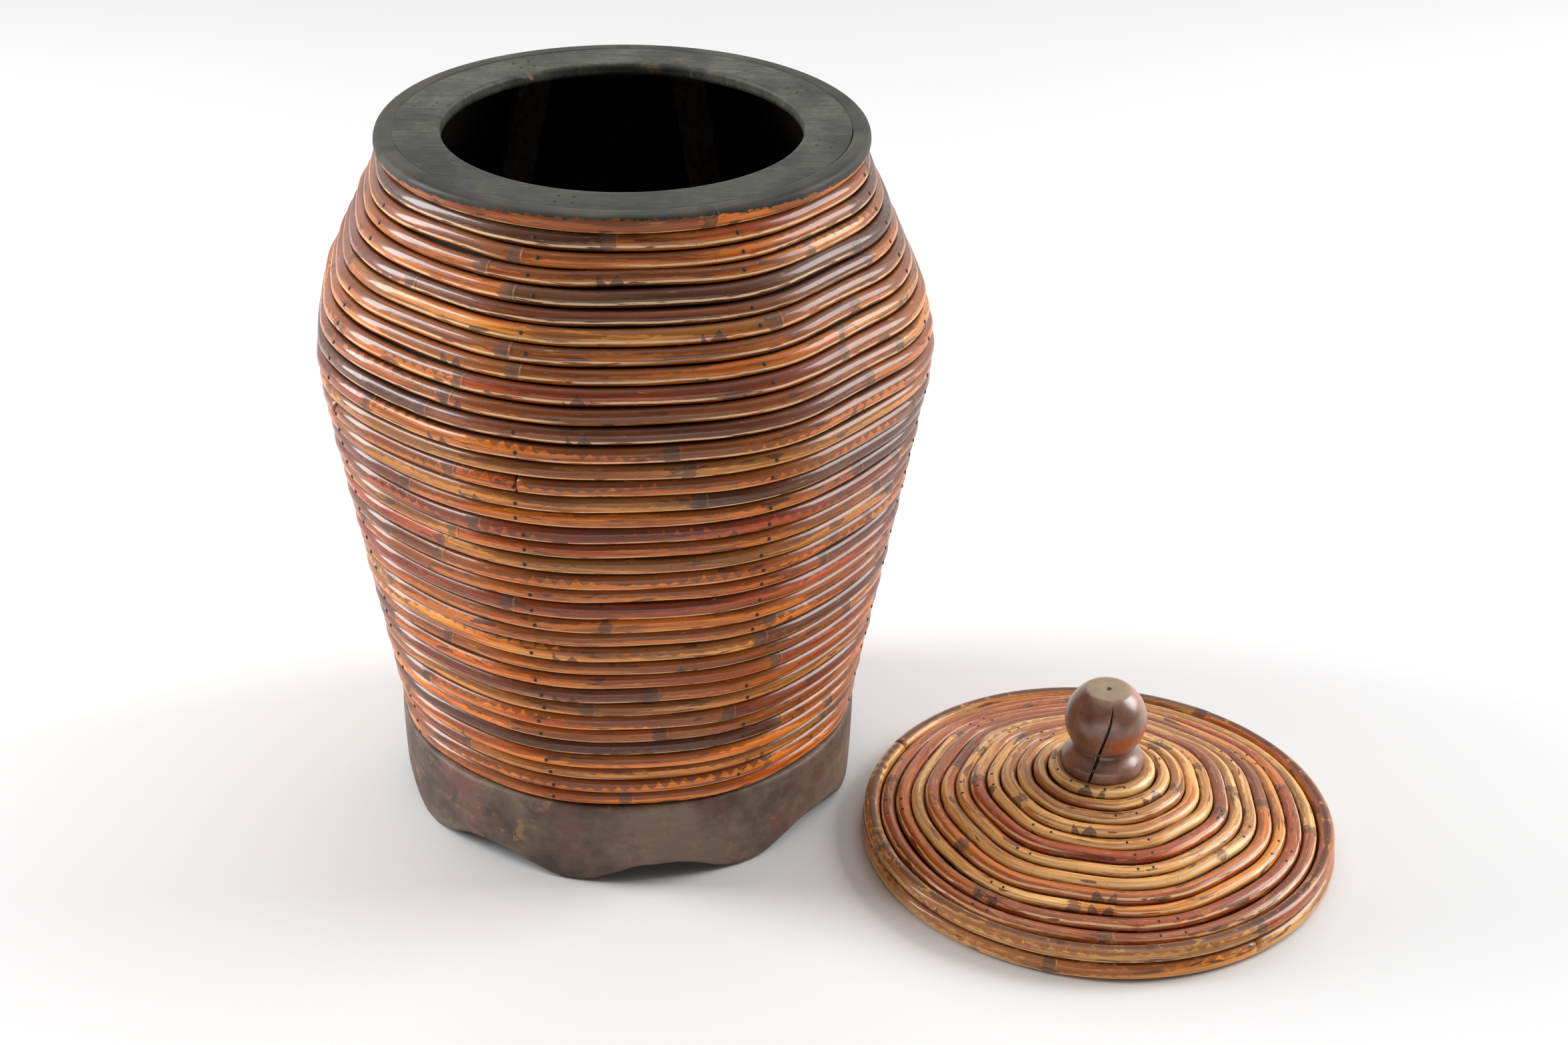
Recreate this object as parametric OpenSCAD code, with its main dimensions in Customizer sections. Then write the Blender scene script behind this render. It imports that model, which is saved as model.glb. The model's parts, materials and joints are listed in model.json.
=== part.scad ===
// Cane-wound storage jar with its lid lying on the ground beside it. Rattan canes
// are wound in courses over eight bent laths, between a foot skirt and a rim board.
// The lid is wound the same way over seven spokes, with a turned knob.
// +Z is up, the front faces -Y, and the origin is the jar's axis at the ground.

/* [Jar] */
// Height of the rim above the ground
rim_h = 400; // [340:1:480]
// Radius of the mouth
mouth_r = 96.5; // [75:0.5:105]
// Radial width of the rim board
rim_board_w = 25.5; // [20:0.5:30]
// Thickness of the rim board
rim_board_t = 7; // [5:0.5:8.5]
// Diameter of the cane nailed round the rim board
rim_cane_d = 10; // [9:0.1:12]
// Radius of the lowest course, at the cane's centre
base_r = 127.3; // [118:0.1:150]
// Radius where the straight wall and shoulder would meet
shoulder_r = 168.2; // [150:0.1:205]
// Height where the straight wall and shoulder would meet
shoulder_h = 295.5; // [250:0.5:310]
// Radius of the rounding between wall and shoulder
shoulder_round = 85; // [60:1:100]
// Unevenness of the canes, as a share of their diameter
cane_vary = 0.09; // [0:0.01:0.12]

/* [Inside the jar] */
// Thickness of the lining behind the canes
lining_t = 1.5; // [1:0.1:3]
// Width of a jar rib
rib_w = 20; // [12:0.5:28]
// Thickness of a jar rib
rib_t = 6; // [4:0.5:8]
// Turn of the first rib from +X
rib_turn = -15.5; // [-22:0.5:22]

/* [Foot] */
// Height of the foot skirt
skirt_h = 51; // [40:1:60]
// Outer radius of the foot skirt
skirt_r = 132.5; // [124:0.5:155]
// Thickness of the foot skirt
skirt_t = 8; // [6:0.5:10]
// Height of the arches between the feet
arch_h = 10.5; // [6:0.5:14]
// Width of each arch
arch_w = 76; // [50:1:84]
// Turn of the first foot from +X
foot_turn = -11; // [-22:0.5:22]
// Thickness of the base board
base_board_t = 12; // [8:0.5:18]
// Height of the base board above the ground
base_board_h = 16; // [15:0.5:20]

/* [Lid] */
// Distance from the jar's axis to the lid's axis
lid_away = 283.5; // [278:0.5:340]
// Direction of the lid from the jar, turned from +X
lid_turn = -15.5; // [-45:0.5:45]
// Radius of the lid's edge
lid_r = 135.4; // [125:0.1:145]
// Diameter of the lower edge cane
lid_cane_d = 10; // [8:0.1:11]
// Diameter of the upper edge cane
lid_upper_cane_d = 9; // [8:0.1:10]
// How far the upper edge cane stands inside the lower one
lid_edge_step = 1.2; // [0:0.1:3]
// Slope of the lid's winding
lid_slope = 19.8; // [15:0.1:25]
// Radius of the outermost sloping course, at the cane's centre
lid_outer_r = 120; // [112:0.5:121]
// Height of the outermost sloping course, at the cane's centre
lid_outer_h = 13.2; // [12.5:0.1:18]
// Radius of the innermost course, at the cane's centre
lid_inner_r = 28; // [26:0.5:36]
// Radial width of the lid's ring board
lid_board_w = 25; // [16:0.5:34]
// Thickness of the lid's ring board
lid_board_t = 5; // [3:0.5:5]
// Turn of the first lid spoke from +X
spoke_turn = -24.5; // [-25:0.5:25]
// Width of a lid spoke
spoke_w = 14; // [8:0.5:20]
// Thickness of a lid spoke
spoke_t = 5; // [3:0.5:6]
// Radius of the hub
hub_r = 34; // [30:0.5:44]
// Thickness of the hub
hub_t = 10; // [8:0.5:14]

/* [Knob] */
// Radius of the knob's ball
knob_r = 23; // [18:0.5:30]
// Radius of the neck under the ball
knob_neck_r = 18.5; // [12:0.5:22]
// Height of the straight foot of the knob above the innermost course
knob_foot_h = 6; // [2:0.5:10]
// Height of the taper from the foot to the neck
knob_taper_h = 10; // [5:0.5:14]
// Height of the knob's flat top above the lid's edge
knob_top_h = 100; // [94:0.5:112]
// Radius of the flat disc on top
knob_disc_r = 12.5; // [8:0.5:16]
// Radius of the tenon that passes through the hub
tenon_r = 9; // [7:0.5:12]
// Diameter of the cross peg under the hub
peg_d = 5; // [4:0.1:6]
// Length of the cross peg
peg_l = 36; // [28:1:50]

/* [Fits] */
// Gap between neighbouring canes, and between a cane and what it lies on
cane_gap = 0.12; // [0.05:0.01:0.3]
// Gap between the wooden pieces
wood_gap = 0.1; // [0.05:0.01:0.3]
// Radial clearance of the cross peg in the tenon
peg_clear = 0.05; // [0.02:0.01:0.1]

/* [Hidden] */
big_fn = 120;
cane_fn = 24;
// Courses on the jar, and how many of them make one length of cane
jar_courses = 36;
lid_courses = 12;
turns = 3;
ribs = 8;
lid_spokes = 7;
// Step that scatters the canes' diameters
scatter = 137.5;
// How much thicker the canes are where they round the shoulder
shoulder_swell = 0.1;

function total(list, i = 0) = i < len(list) ? list[i] + total(list, i + 1) : 0;
function share(i, n) = 1 + cane_vary * sin(scatter * i) + shoulder_swell * sin(180 * i / n);

// The centreline of the jar's winding: a straight wall, a rounded shoulder and a
// straight neck. Its ends sit half a cane above the skirt and below the rim cane.
rim_board_r = mouth_r + rim_board_w;
rim_cane_r = rim_board_r + cane_gap + rim_cane_d / 2;
neck_h = rim_h - rim_cane_d;
rough_l = norm([shoulder_r - base_r, shoulder_h - skirt_h]) + norm([shoulder_r - rim_cane_r, neck_h - shoulder_h]);
half_cane = rough_l / jar_courses / 2 + cane_gap;
wall_foot = [base_r, skirt_h + half_cane];
neck_top = [rim_cane_r + 0.5, neck_h - half_cane];
corner = [shoulder_r, shoulder_h];
wall_l = norm(corner - wall_foot);
neck_l = norm(neck_top - corner);
wall_lean = atan((corner.x - wall_foot.x) / (corner.y - wall_foot.y));
neck_lean = atan((corner.x - neck_top.x) / (neck_top.y - corner.y));
bend = wall_lean + neck_lean;
bend_cut = shoulder_round * tan(bend / 2);
bend_l = shoulder_round * bend * PI / 180;
wall_run = wall_l - bend_cut;
neck_run = neck_l - bend_cut;
path_l = wall_run + bend_l + neck_run;
bend_centre = wall_foot + wall_run * [sin(wall_lean), cos(wall_lean)]
    + shoulder_round * [-cos(wall_lean), sin(wall_lean)];

// Lean of the winding from upright at a distance s along the centreline
function lean_at(s) = s < wall_run ? wall_lean
    : s > wall_run + bend_l ? -neck_lean
    : wall_lean - (s - wall_run) / shoulder_round * 180 / PI;

// Point at a distance s along the centreline, moved inwards by deep
function wind_at(s, deep = 0) = let (lean = lean_at(s), inward = deep * [-cos(lean), sin(lean)])
    s < wall_run ? wall_foot + s * [sin(lean), cos(lean)] + inward
    : s > wall_run + bend_l ? neck_top - (path_l - s) * [sin(lean), cos(lean)] + inward
    : bend_centre + (shoulder_round - deep) * [cos(lean), -sin(lean)];

// Where each course lies, from the lowest up
shares = [for (i = [0 : jar_courses - 1]) share(i, jar_courses)];
share_l = path_l / (total(shares) - (shares[0] + shares[jar_courses - 1]) / 2);
function course_s(i) = share_l * (total([for (j = [0 : i]) shares[j]]) - (shares[0] + shares[i]) / 2);
function course_d(i) = share_l * shares[i] - cane_gap;
thickest = share_l * max(shares);

// Inner layers of the jar, measured inwards from the centreline
lining_in = thickest / 2 + cane_gap;
lining_back = lining_in + lining_t;
base_top = base_board_h + base_board_t;
board_under = rim_h - rim_board_t;

// Outline of a layer that follows the winding, from the base board to the rim board
function reach(h, p, lean) = p + (h - p.y) / cos(lean) * [sin(lean), cos(lean)];
bend_steps = 8;
function wall_side(deep) =
    [reach(base_top + wood_gap, wind_at(0, deep), wall_lean), wind_at(wall_run - wood_gap, deep)];
function shoulder_side(deep) = concat(
    [for (k = [0 : bend_steps]) wind_at(wall_run + bend_l * k / bend_steps, deep)],
    [reach(board_under - wood_gap, wind_at(path_l, deep), -neck_lean)]);
function layer_side(deep) = concat([wall_side(deep)[0]], shoulder_side(deep));
function back(list) = [for (i = [len(list) - 1 : -1 : 0]) list[i]];

module ring(r, h, d) {
    translate([0, 0, h])
        rotate_extrude($fn = big_fn)
            translate([r, 0])
                circle(d = d, $fn = cane_fn);
}

module flat_ring(r_out, r_in, t) {
    difference() {
        cylinder(r = r_out, h = t, $fn = big_fn);
        translate([0, 0, -1])
            cylinder(r = r_in, h = t + 2, $fn = big_fn);
    }
}

module rim_board() {
    color("dimgray")
        translate([0, 0, board_under])
            flat_ring(rim_board_r, mouth_r, rim_board_t);
}

module rim_cane() {
    color("saddlebrown")
        ring(rim_cane_r, rim_h - rim_cane_d / 2, rim_cane_d);
}

// One length of cane, wound several times round the jar
module jar_cane(n) {
    color(n % 2 == 0 ? "peru" : "sienna")
        for (i = [n * turns : (n + 1) * turns - 1])
            ring(wind_at(course_s(i)).x, wind_at(course_s(i)).y, course_d(i));
}

// Thin sheet between the canes and the ribs, in a lower and an upper piece
module lining_wall() {
    color("darkslategray")
        rotate_extrude($fn = big_fn)
            polygon(concat(wall_side(lining_in), back(wall_side(lining_back))));
}

module lining_shoulder() {
    color("darkslategray")
        rotate_extrude($fn = big_fn)
            polygon(concat(shoulder_side(lining_in), back(shoulder_side(lining_back))));
}

// A bent lath inside the lining, nailed to the base board and the rim board
rib_sag = base_r - sqrt(base_r * base_r - rib_w * rib_w / 4);
rib_front = lining_back + rib_sag + wood_gap;
module jar_rib(n) {
    color("burlywood")
        rotate([0, 0, rib_turn + 360 / ribs * n])
            rotate([90, 0, 0])
                linear_extrude(rib_w, center = true)
                    polygon(concat(layer_side(rib_front), back(layer_side(rib_front + rib_t))));
}

module base_board() {
    color("sienna")
        translate([0, 0, base_board_h])
            cylinder(r = skirt_r - skirt_t - wood_gap, h = base_board_t, $fn = big_fn);
}

// A band round the base board, cut into feet by eight shallow arches
arch_r = (arch_w * arch_w / 4 + arch_h * arch_h) / (2 * arch_h);
module base_skirt() {
    color("saddlebrown")
        difference() {
            flat_ring(skirt_r, skirt_r - skirt_t, skirt_h);
            for (n = [0 : ribs - 1])
                rotate([0, 0, foot_turn + 360 / ribs * (n + 0.5)])
                    translate([0, 0, arch_h - arch_r])
                        rotate([0, 90, 0])
                            cylinder(r = arch_r, h = skirt_r + 10, $fn = big_fn);
        }
}

// The lid is drawn about its own axis and stands where it lies beside the jar
module beside_jar() {
    rotate([0, 0, lid_turn])
        translate([lid_away, 0, 0])
            rotate([0, 0, -lid_turn])
                children();
}

lid_edge_r = lid_r - lid_cane_d / 2;
lid_board_r = lid_edge_r - lid_cane_d / 2 - cane_gap;
lid_upper_r = lid_r - lid_edge_step - lid_upper_cane_d / 2;
lid_cane_apart = (lid_cane_d + lid_upper_cane_d) / 2 + cane_gap;
lid_upper_h = lid_cane_d / 2 + sqrt(pow(lid_cane_apart, 2) - pow(lid_edge_r - lid_upper_r, 2));
lid_shares = [for (i = [0 : lid_courses - 1]) share(i, 1000)];
lid_path_l = (lid_outer_r - lid_inner_r) / cos(lid_slope);
lid_share_l = lid_path_l / (total(lid_shares) - (lid_shares[0] + lid_shares[lid_courses - 1]) / 2);
function lid_s(i) = lid_share_l
    * (total([for (j = [0 : i]) lid_shares[j]]) - (lid_shares[0] + lid_shares[i]) / 2);
function lid_h(r, deep = 0) = lid_outer_h + (lid_outer_r - r) * tan(lid_slope) - deep / cos(lid_slope);
lid_thickest = lid_share_l * max(lid_shares);

module lid_edge_canes() {
    color("saddlebrown")
        beside_jar() {
            ring(lid_edge_r, lid_cane_d / 2, lid_cane_d);
            ring(lid_upper_r, lid_upper_h, lid_upper_cane_d);
        }
}

module lid_cane(n) {
    color(n % 2 == 0 ? "tan" : "peru")
        beside_jar()
            for (i = [n * turns : (n + 1) * turns - 1])
                ring(lid_outer_r - lid_s(i) * cos(lid_slope), lid_outer_h + lid_s(i) * sin(lid_slope),
                    lid_share_l * lid_shares[i] - cane_gap);
}

module lid_board() {
    color("dimgray")
        beside_jar()
            flat_ring(lid_board_r, lid_board_r - lid_board_w, lid_board_t);
}

// Layers under the lid's canes, measured down from the canes' centres
lid_lining_in = lid_thickest / 2 + cane_gap;
lid_lining_back = lid_lining_in + lining_t;
lid_lining_r = lid_board_r - 2;
flange_r = lid_inner_r - lid_thickest / 2 - cane_gap;
lid_hole_r = flange_r + 1;
module lid_lining() {
    color("darkslategray")
        beside_jar()
            rotate_extrude($fn = big_fn)
                polygon([[lid_hole_r, lid_h(lid_hole_r, lid_lining_in)], [lid_lining_r, lid_h(lid_lining_r, lid_lining_in)],
                    [lid_lining_r, lid_h(lid_lining_r, lid_lining_back)], [lid_hole_r, lid_h(lid_hole_r, lid_lining_back)]]);
}

// A spoke runs from the hub to where its underside meets the ring board
spoke_top = lid_lining_back + wood_gap + 0.2;
spoke_in = hub_r + wood_gap;
spoke_out = lid_outer_r - (lid_board_t + wood_gap + (spoke_top + spoke_t) / cos(lid_slope) - lid_outer_h)
    / tan(lid_slope);
module lid_spoke(n) {
    color("burlywood")
        beside_jar()
            rotate([0, 0, spoke_turn + 360 / lid_spokes * n])
                rotate([90, 0, 0])
                    linear_extrude(spoke_w, center = true)
                        polygon([[spoke_in, lid_h(spoke_in, spoke_top)], [spoke_out, lid_h(spoke_out, spoke_top)],
                            [spoke_out, lid_h(spoke_out, spoke_top + spoke_t)],
                            [spoke_in, lid_h(spoke_in, spoke_top + spoke_t)]]);
}

// The hub lies under the middle of the lining and carries the knob
hub_top = lid_h(hub_r, lid_lining_back) - wood_gap;
hub_under = hub_top - hub_t;
module lid_hub() {
    color("sienna")
        beside_jar()
            translate([0, 0, hub_under])
                flat_ring(hub_r, tenon_r + wood_gap, hub_t);
}

// The knob: ball, tapered neck and foot, with a tenon through the hub
flange_top = lid_h(lid_inner_r) + lid_thickest / 2 + knob_foot_h;
peg_h = hub_under - wood_gap - peg_d / 2;
tenon_under = peg_h - peg_d;
ball_h = knob_top_h - sqrt(knob_r * knob_r - knob_disc_r * knob_disc_r);
taper_top = flange_top + knob_taper_h;
module knob() {
    color("maroon")
        beside_jar()
            difference() {
                union() {
                    rotate_extrude($fn = big_fn)
                        polygon([[0, tenon_under], [tenon_r, tenon_under], [tenon_r, hub_top + wood_gap],
                            [flange_r, hub_top + wood_gap], [flange_r, flange_top],
                            [knob_neck_r, taper_top], [knob_neck_r, ball_h], [0, ball_h]]);
                    intersection() {
                        translate([0, 0, ball_h])
                            sphere(r = knob_r, $fn = big_fn);
                        translate([0, 0, ball_h - knob_r])
                            cylinder(r = knob_r + 1, h = knob_top_h - ball_h + knob_r, $fn = big_fn);
                    }
                }
                cross_pin(peg_d / 2 + peg_clear, peg_l);
            }
}

// A round bar through the tenon, level and square to the way the lid lies
module cross_pin(r, l) {
    translate([0, 0, peg_h])
        rotate([0, 0, lid_turn])
            rotate([90, 0, 0])
                cylinder(r = r, h = l, center = true, $fn = 48);
}

module knob_peg() {
    color("burlywood")
        beside_jar()
            cross_pin(peg_d / 2, peg_l);
}

rim_board();
rim_cane();
jar_cane(0);  // jar_cane_01
jar_cane(1);  // jar_cane_02
jar_cane(2);  // jar_cane_03
jar_cane(3);  // jar_cane_04
jar_cane(4);  // jar_cane_05
jar_cane(5);  // jar_cane_06
jar_cane(6);  // jar_cane_07
jar_cane(7);  // jar_cane_08
jar_cane(8);  // jar_cane_09
jar_cane(9);  // jar_cane_10
jar_cane(10);  // jar_cane_11
jar_cane(11);  // jar_cane_12
lining_wall();
lining_shoulder();
jar_rib(0);  // jar_rib_1
jar_rib(1);  // jar_rib_2
jar_rib(2);  // jar_rib_3
jar_rib(3);  // jar_rib_4
jar_rib(4);  // jar_rib_5
jar_rib(5);  // jar_rib_6
jar_rib(6);  // jar_rib_7
jar_rib(7);  // jar_rib_8
base_board();
base_skirt();
lid_board();
lid_edge_canes();
lid_cane(0);  // lid_cane_1
lid_cane(1);  // lid_cane_2
lid_cane(2);  // lid_cane_3
lid_cane(3);  // lid_cane_4
lid_lining();
lid_spoke(0);  // lid_spoke_1
lid_spoke(1);  // lid_spoke_2
lid_spoke(2);  // lid_spoke_3
lid_spoke(3);  // lid_spoke_4
lid_spoke(4);  // lid_spoke_5
lid_spoke(5);  // lid_spoke_6
lid_spoke(6);  // lid_spoke_7
lid_hub();
knob();
knob_peg();
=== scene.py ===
"""A cane-wound jar with its lid lying beside it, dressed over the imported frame.

Every length is in metres. Angles round an axis are in radians from +X, seen from above.
"""
import json
import math

import bpy
import numpy as np
from mathutils import Matrix, Vector


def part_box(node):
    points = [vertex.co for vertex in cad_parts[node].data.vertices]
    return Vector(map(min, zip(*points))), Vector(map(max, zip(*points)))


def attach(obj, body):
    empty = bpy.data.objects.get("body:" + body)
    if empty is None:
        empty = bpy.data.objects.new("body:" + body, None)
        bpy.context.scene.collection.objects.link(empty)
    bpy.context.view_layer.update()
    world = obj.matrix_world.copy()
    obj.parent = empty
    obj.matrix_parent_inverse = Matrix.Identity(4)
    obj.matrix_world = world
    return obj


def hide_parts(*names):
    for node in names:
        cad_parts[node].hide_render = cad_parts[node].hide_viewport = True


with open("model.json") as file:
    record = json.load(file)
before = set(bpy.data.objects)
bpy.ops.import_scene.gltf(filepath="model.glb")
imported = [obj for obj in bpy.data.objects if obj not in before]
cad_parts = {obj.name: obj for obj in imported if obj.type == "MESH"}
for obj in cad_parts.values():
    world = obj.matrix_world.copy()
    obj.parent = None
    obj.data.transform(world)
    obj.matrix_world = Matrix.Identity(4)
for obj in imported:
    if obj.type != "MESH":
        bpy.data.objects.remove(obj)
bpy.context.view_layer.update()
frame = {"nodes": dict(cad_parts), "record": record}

MM = 0.001
TURN = 2 * math.pi
RIBS = 8
SPOKES = 7
FRONT = -math.pi / 2
JAR_CANES = [f"jar_cane_{n:02d}" for n in range(1, 13)]
LID_CANES = [f"lid_cane_{n}" for n in range(1, 5)]


# -------------------- the frame's sizes

def cad_vertices(node):
    """Every vertex of a CAD node, as an array."""
    mesh = frame["nodes"][node].data
    flat = np.empty(len(mesh.vertices) * 3, np.float32)
    mesh.vertices.foreach_get("co", flat)
    return flat.reshape(-1, 3).astype(float)


def cad_islands(node):
    """The vertices of each separate solid in a CAD node."""
    points = cad_vertices(node)
    keys = [tuple(p) for p in np.round(points, 6)]
    parent = {k: k for k in keys}

    def root(k):
        while parent[k] != k:
            parent[k] = parent[parent[k]]
            k = parent[k]
        return k

    for edge in frame["nodes"][node].data.edges:
        a, b = (root(keys[v]) for v in edge.vertices)
        if a != b:
            parent[a] = b
    groups = {}
    for k in parent:
        groups.setdefault(root(k), []).append(k)
    return [np.array(g) for g in groups.values()]


def cad_rings(nodes, centre):
    """(radius, height, diameter) of each ring in some CAD nodes, node by node from the lowest up."""
    rows = []
    for node in nodes:
        found = []
        for points in cad_islands(node):
            low, high = points[:, 2].min(), points[:, 2].max()
            out = np.hypot(points[:, 0] - centre[0], points[:, 1] - centre[1]).max()
            found.append((out - (high - low) / 2, (high + low) / 2, high - low))
        rows += sorted(found, key=lambda ring: ring[1])
    return np.array(rows)


def middle(node):
    """Centre of a CAD node's box."""
    low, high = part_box(node)
    return (low + high) / 2


def cad_reach(points):
    """Distance of each point from the upright axis."""
    return np.hypot(points[:, 0], points[:, 1])


JAR_AXIS = Vector((0, 0, 0))
LID_AXIS = Vector((middle("lid_board").x, middle("lid_board").y, 0))
first_rib = middle("jar_rib_1")
RIB_TURN = math.atan2(first_rib.y, first_rib.x)
first_spoke = middle("lid_spoke_1") - LID_AXIS
SPOKE_TURN = math.atan2(first_spoke.y, first_spoke.x)
RIM_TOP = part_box("rim_board")[1].z
RIM_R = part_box("rim_board")[1].x
MOUTH_R = frame["record"]["mounts"][1]["dims"]["r_mm"] * MM
SKIRT_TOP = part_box("base_skirt")[1].z
SKIRT_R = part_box("base_skirt")[1].x
SKIRT_WALL = SKIRT_R - cad_reach(cad_vertices("base_skirt")).min()
KNOB_LOW, KNOB_TOP = (corner.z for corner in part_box("knob"))
knob_points = cad_vertices("knob") - np.array(LID_AXIS)
knob_reach = cad_reach(knob_points)
# The ball fills the knob's top 30 mm; its flat disc and its tenon lie at the two ends
KNOB_R = knob_reach[knob_points[:, 2] > KNOB_TOP - 30 * MM].max()
KNOB_DISC_R = knob_reach[knob_points[:, 2] > KNOB_TOP - 0.05 * MM].max()
TENON_R = knob_reach[knob_points[:, 2] < KNOB_LOW + 0.05 * MM].max()
jar_rings = cad_rings(JAR_CANES, JAR_AXIS)
lid_rings = cad_rings(LID_CANES, LID_AXIS)
rim_ring = cad_rings(["rim_cane"], JAR_AXIS)
edge_rings = cad_rings(["lid_edge_canes"], LID_AXIS)


def from_front(angle):
    """Signed angle from the front, between half a turn either way."""
    return (angle - FRONT + math.pi) % TURN - math.pi


def unit(values):
    """Values held between 0 and 1."""
    return np.clip(values, 0, 1)


def hump(distance, width):
    """1 at no distance, falling smoothly to nothing over some widths."""
    return np.exp(-(distance / width) ** 2)


def polar(radius, angle, height):
    """Rows of x, y, z for points given by radius, angle and height."""
    radius, angle, height = np.broadcast_arrays(radius, angle, height)
    return np.stack([radius * np.cos(angle), radius * np.sin(angle), height], -1).reshape(-1, 3)


# -------------------- materials

class Shader:
    """Short calls that build one material's node tree."""

    def __init__(self, name):
        self.material = bpy.data.materials.new(name)
        self.material.use_nodes = True
        self.tree = self.material.node_tree
        self.tree.nodes.clear()
        output = self.tree.nodes.new("ShaderNodeOutputMaterial")
        self.surface = self.tree.nodes.new("ShaderNodeBsdfPrincipled")
        self.tree.links.new(self.surface.outputs[0], output.inputs["Surface"])

    def put(self, socket, value):
        if isinstance(value, bpy.types.NodeSocket):
            self.tree.links.new(value, socket)
        elif isinstance(value, tuple) and len(value) == 3 and socket.type == "RGBA":
            socket.default_value = (*value, 1)
        else:
            socket.default_value = value

    def node(self, kind, inputs=(), out=0, **settings):
        made = self.tree.nodes.new("ShaderNode" + kind)
        for key, value in settings.items():
            setattr(made, key, value)
        for socket, value in dict(inputs).items():
            self.put(made.inputs[socket], value)
        return made.outputs[out]

    def math(self, operation, a, b=0.0):
        return self.node("Math", {0: a, 1: b}, operation=operation)

    def attribute(self, name, out="Fac"):
        return self.node("Attribute", out=out, attribute_name=name, attribute_type="GEOMETRY")

    def vector(self, x, y, z):
        return self.node("CombineXYZ", {0: x, 1: y, 2: z})

    def place(self):
        return self.node("TexCoord", out="Object")

    def stretched(self, scale):
        return self.node("Mapping", {"Vector": self.place(), "Scale": scale})

    def noise(self, vector, scale=1.0, detail=3.0, roughness=0.5, distortion=0.0):
        inputs = {"Vector": vector, "Scale": scale, "Detail": detail}
        inputs.update({"Roughness": roughness, "Distortion": distortion})
        return self.node("TexNoise", inputs)

    def step(self, value, low, high):
        """0 below low, 1 above high, smooth between; falls if low is above high."""
        inputs = {"Value": value, "From Min": low, "From Max": high}
        return self.node("MapRange", inputs, interpolation_type="SMOOTHSTEP")

    def mix(self, factor, a, b, blend="MIX"):
        made = self.tree.nodes.new("ShaderNodeMix")
        made.data_type = "RGBA"
        made.blend_type = blend
        self.put(made.inputs[0], factor)
        self.put(made.inputs[6], a)
        self.put(made.inputs[7], b)
        return made.outputs[2]

    def shade(self, colour, factor):
        """colour times a grey factor."""
        return self.mix(1.0, colour, self.vector(factor, factor, factor), "MULTIPLY")

    def vary(self, colour, value, low, high, start=0.0, end=1.0):
        """colour times low where value is start, up to high where it is end."""
        inputs = {"Value": value, "From Min": start, "From Max": end, "To Min": low, "To Max": high}
        return self.shade(colour, self.node("MapRange", inputs))

    def lay(self, colour, value, low, high, strength, tone):
        """colour under a tone that begins where value is low and is full where it is high."""
        return self.mix(self.both(self.step(value, low, high), strength), colour, tone)

    def both(self, a, b):
        return self.math("MULTIPLY", a, b)

    def add(self, a, b):
        return self.math("ADD", a, b)

    def less(self, a, b):
        return self.math("SUBTRACT", a, b)

    def centred(self, noise):
        return self.less(noise, 0.5)

    def bump(self, height, distance, strength=1.0):
        inputs = {"Height": height, "Distance": distance, "Strength": strength}
        self.put(self.surface.inputs["Normal"], self.node("Bump", inputs))

    def finish(self, **sockets):
        for name, value in sockets.items():
            self.put(self.surface.inputs[name.replace("_", " ")], value)
        return self.material


def srgb(red, green, blue):
    """Linear colour for an sRGB one given from 0 to 255."""
    shares = [c / 255 for c in (red, green, blue)]
    return tuple(((v + 0.055) / 1.055) ** 2.4 if v > 0.04045 else v / 12.92 for v in shares)


# Dark brown for the dirt in pinholes and for the painted shade between canes
DIRT_AND_SHADE = srgb(44, 25, 17)


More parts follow.
